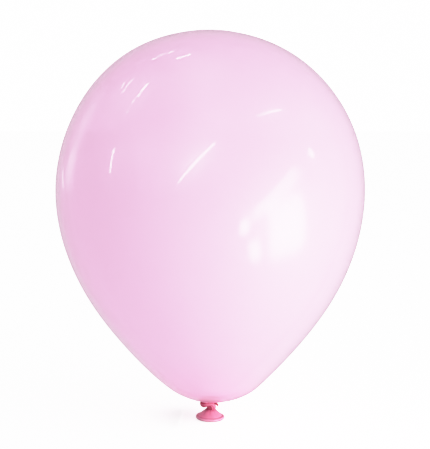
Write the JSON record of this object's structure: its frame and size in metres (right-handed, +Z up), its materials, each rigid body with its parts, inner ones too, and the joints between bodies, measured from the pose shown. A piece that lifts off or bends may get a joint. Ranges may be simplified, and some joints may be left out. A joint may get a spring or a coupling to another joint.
{
  "type": "latex balloon",
  "caption": "Air-filled party balloon: thin pink latex envelope, gathered neck, overhand knot, flared tail and rolled lip.",
  "frame": {"origin": "centre of the rolled lip's flat foot, on the surface the balloon stands on", "axes": "+Z up along the balloon's axis from the lip to the crown, -Y towards the viewer, +X to the viewer's right"},
  "size_m": [0.29, 0.29, 0.3723],
  "materials": {
    "film": "glossy milky translucent stretched latex film",
    "gather_film": "glossy pleated latex film, a deeper pink where it is less stretched",
    "knot_rubber": "satin unstretched latex, creased and tightly folded",
    "tail_film": "satin unstretched latex film, slightly translucent",
    "lip_rubber": "satin rolled latex bead"
  },
  "bodies": {
    "knot": {"knot_core": "knot_rubber", "knot_wrap": "knot_rubber"},
    "neck": {"neck_gather": "gather_film"},
    "envelope": {"envelope": "film"},
    "tail": {"tail_skirt": "tail_film", "rolled_lip": "lip_rubber"}
  },
  "joints": [
    {"name": "knot_sway", "type": "hinge", "parent": "knot", "child": "neck", "pos_m": [0, 0, 0.0214], "axis": [0, 1, 0], "range_deg": [-15, 15], "stiffness_Nm_per_rad": 0.05},
    {"name": "neck_twist", "type": "hinge", "parent": "neck", "child": "envelope", "pos_m": [0, 0, 0.0196], "axis": [0, 0, 1], "range_deg": [-60, 60], "stiffness_Nm_per_rad": 0.01},
    {"name": "tail_bend", "type": "hinge", "parent": "knot", "child": "tail", "pos_m": [0, 0, 0.01], "axis": [1, 0, 0], "range_deg": [-45, 45], "stiffness_Nm_per_rad": 0.002}
  ]
}
